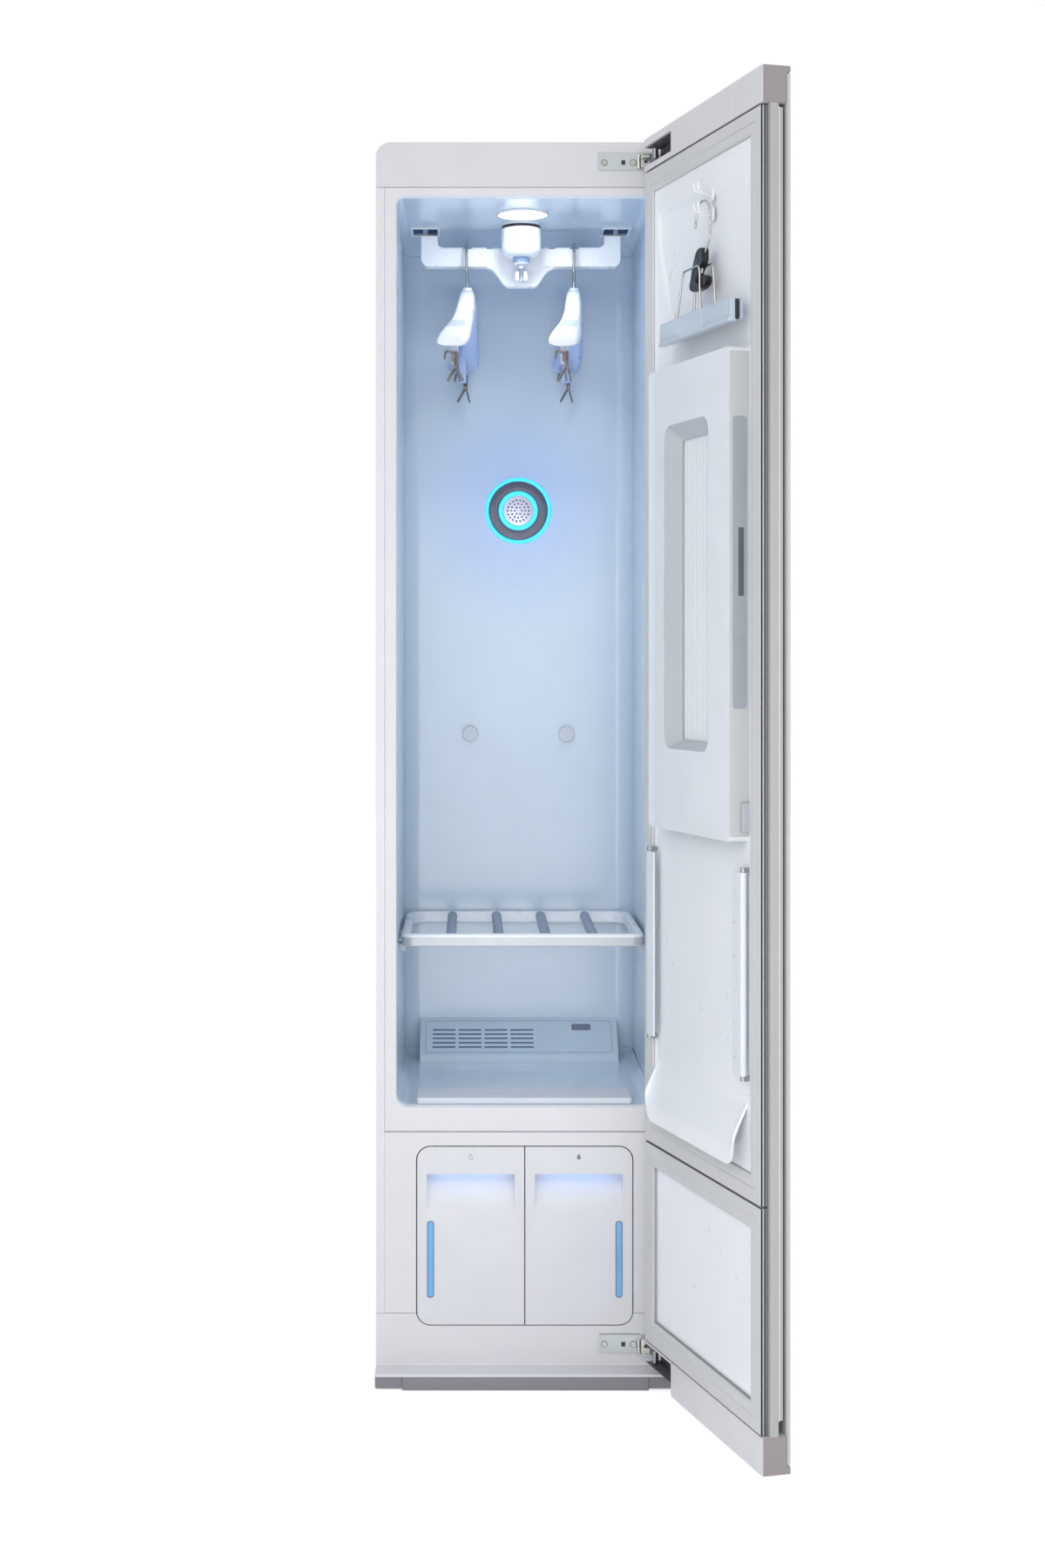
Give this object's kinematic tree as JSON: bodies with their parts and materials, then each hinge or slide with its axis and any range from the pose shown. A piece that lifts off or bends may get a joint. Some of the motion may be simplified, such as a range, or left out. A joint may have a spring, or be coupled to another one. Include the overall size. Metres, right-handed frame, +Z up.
{
  "type": "clothes care steam cabinet",
  "caption": "Tall narrow steam cabinet for clothes: open hinged door with trouser press, shaking hanger bar, shelf, ring-shaped steam outlet and pull-out water tanks.",
  "frame": {"origin": "on the floor, in the middle of the cabinet's width, in the plane of its front face", "axes": "+Z up, +Y back into the cabinet, +X to the right of a person facing it"},
  "size_m": [0.5543, 1.0055, 1.85],
  "materials": {
    "panel_light": "satin",
    "cabinet_sheet": "satin",
    "liner_gloss": "gloss",
    "filter_plastic": "satin",
    "foam": "matte",
    "base_dark": "matte",
    "steel_plain": "satin",
    "foot_rubber": "matte",
    "bay_sheet": "matte",
    "tank_plastic": "satin",
    "machine_black": "satin",
    "coil_metal": "satin",
    "motor_plastic": "matte",
    "boiler_metal": "satin",
    "pipe_dark": "matte",
    "lamp_lens": "satin",
    "drive_white": "satin",
    "pin_steel": "satin",
    "hanger_white": "satin",
    "hanger_wire": "polished",
    "nozzle_light": "satin",
    "shelf_grey": "satin",
    "hinge_zinc": "polished",
    "door_glass": "gloss",
    "door_edge": "satin",
    "door_cap": "satin",
    "gasket_rubber": "matte",
    "door_liner_white": "satin",
    "press_board": "satin",
    "window_clear": "gloss",
    "latch_grey": "satin",
    "clamp_grey": "satin",
    "lock_black": "satin"
  },
  "bodies": {
    "cabinet": {"outer_wrap": "cabinet_sheet", "back_cover": "cabinet_sheet", "header_panel": "panel_light", "front_frame": "panel_light", "cavity_liner": "liner_gloss", "insulation": "foam", "lower_panel": "panel_light", "base_plinth": "base_dark", "levelling_feet": "foot_rubber", "base_pan": "steel_plain", "tank_surround": "panel_light", "tank_bay": "bay_sheet", "compressor": "machine_black", "heat_exchangers": "coil_metal", "heat_pump_duct": "bay_sheet", "fan_motor": "motor_plastic", "rear_air_duct": "bay_sheet", "steam_generator": "boiler_metal", "internal_pipes": "pipe_dark", "pumps": "motor_plastic", "control_box": "motor_plastic", "lamp_lens": "lamp_lens", "ceiling_bezels": "drive_white", "drive_housing": "drive_white", "drive_motor": "motor_plastic", "guide_rods": "pin_steel", "nozzle": "nozzle_light", "rests_and_buffers": "filter_plastic", "vent_panel": "liner_gloss", "hinge_brackets": "hinge_zinc", "hinge_screws": "steel_plain"},
    "door": {"door_front_panel": "door_glass", "door_frame": "door_edge", "door_core": "foam", "door_caps": "door_cap", "door_gaskets": "gasket_rubber", "door_liner": "door_liner_white", "door_hinge_pins": "pin_steel", "door_hooks": "door_liner_white", "press_pad": "press_board"},
    "hinge_links": {"hinge_links": "hinge_zinc"},
    "press_cover": {"press_cover": "door_liner_white", "press_window": "window_clear"},
    "press_latch": {"press_latch": "latch_grey"},
    "hem_holder_left": {"hem_holder_left": "latch_grey"},
    "hem_holder_right": {"hem_holder_right": "latch_grey"},
    "trouser_hanger": {"trouser_hanger": "hanger_wire", "clamp_bar": "clamp_grey"},
    "clamp_lock": {"clamp_lock": "lock_black"},
    "hanger_bar": {"hanger_bar": "drive_white"},
    "drive_crank": {"drive_crank": "pin_steel"},
    "hanger_left": {"hanger_left": "hanger_white", "hanger_left_wire": "hanger_wire"},
    "hanger_right": {"hanger_right": "hanger_white", "hanger_right_wire": "hanger_wire"},
    "drain_tank": {"drain_tank": "tank_plastic"},
    "water_tank": {"water_tank": "tank_plastic"},
    "shelf": {"shelf": "shelf_grey"},
    "lint_filter": {"lint_filter": "filter_plastic"},
    "fan": {"fan_rotor": "motor_plastic"}
  },
  "joints": [
    {"name": "door_swing", "type": "hinge", "parent": "cabinet", "child": "door", "pos_m": [0.21295, -0.0392, 0.9], "axis": [0, 0, 1], "range_deg": [-105.76, 4.24]},
    {"name": "hinge_link_turn", "type": "hinge", "parent": "cabinet", "child": "hinge_links", "pos_m": [0.194, -0.014, 0.9], "axis": [0, 0, 1], "range_deg": [-82, 4]},
    {"name": "press_cover_swing", "type": "hinge", "parent": "door", "child": "press_cover", "pos_m": [0.19681, -0.12267, 0.905], "axis": [0, 0, -1], "range_deg": [0, 90]},
    {"name": "press_latch_slide", "type": "slide", "parent": "press_cover", "child": "press_latch", "axis": [0, 0, 1], "range_m": [0, 0.008]},
    {"name": "hem_holder_left_swing", "type": "hinge", "parent": "door", "child": "hem_holder_left", "pos_m": [0.1799, -0.08484, 0.533], "axis": [0, 0, -1], "range_deg": [0, 90]},
    {"name": "hem_holder_right_swing", "type": "hinge", "parent": "door", "child": "hem_holder_right", "pos_m": [0.2747, -0.42072, 0.533], "axis": [0, 0, 1], "range_deg": [0, 90]},
    {"name": "trouser_hanger_swing", "type": "hinge", "parent": "door", "child": "trouser_hanger", "pos_m": [0.23391, -0.29092, 1.6948], "axis": [0.9624, 0.2716, 0], "range_deg": [-4, 4]},
    {"name": "clamp_lock_slide", "type": "slide", "parent": "trouser_hanger", "child": "clamp_lock", "axis": [0, 0, 1], "range_m": [0, 0.014]},
    {"name": "hanger_bar_slide", "type": "slide", "parent": "cabinet", "child": "hanger_bar", "axis": [1, 0, 0], "range_m": [-0.008, 0.008]},
    {"name": "drive_crank_turn", "type": "hinge", "parent": "cabinet", "child": "drive_crank", "pos_m": [0, 0.22, 1.681], "axis": [0, 0, 1], "range_deg": [-45, 45]},
    {"name": "hanger_left_swing", "type": "hinge", "parent": "hanger_bar", "child": "hanger_left", "pos_m": [-0.086, 0.267, 1.7373], "axis": [0.0523, 0.9986, 0], "range_deg": [-5, 5]},
    {"name": "hanger_right_swing", "type": "hinge", "parent": "hanger_bar", "child": "hanger_right", "pos_m": [0.086, 0.267, 1.7373], "axis": [0.0523, 0.9986, 0], "range_deg": [-5, 5]},
    {"name": "drain_tank_slide", "type": "slide", "parent": "cabinet", "child": "drain_tank", "axis": [0, -1, 0], "range_m": [0, 0.18]},
    {"name": "water_tank_slide", "type": "slide", "parent": "cabinet", "child": "water_tank", "axis": [0, -1, 0], "range_m": [0, 0.18]},
    {"name": "shelf_slide", "type": "slide", "parent": "cabinet", "child": "shelf", "axis": [0, -1, 0], "range_m": [0, 0.13]},
    {"name": "lint_filter_lift", "type": "slide", "parent": "cabinet", "child": "lint_filter", "axis": [0, 0, 1], "range_m": [0, 0.12]},
    {"name": "fan_spin", "type": "hinge", "parent": "cabinet", "child": "fan", "pos_m": [0.112, 0.4, 0.19], "axis": [0, 1, 0], "continuous": true}
  ],
  "couplings": [
    {"joint": "hinge_link_turn", "follows": "door_swing", "ratio": 0.76589},
    {"joint": "drive_crank_turn", "follows": "hanger_bar_slide", "rad_per_m": -92.4}
  ]
}
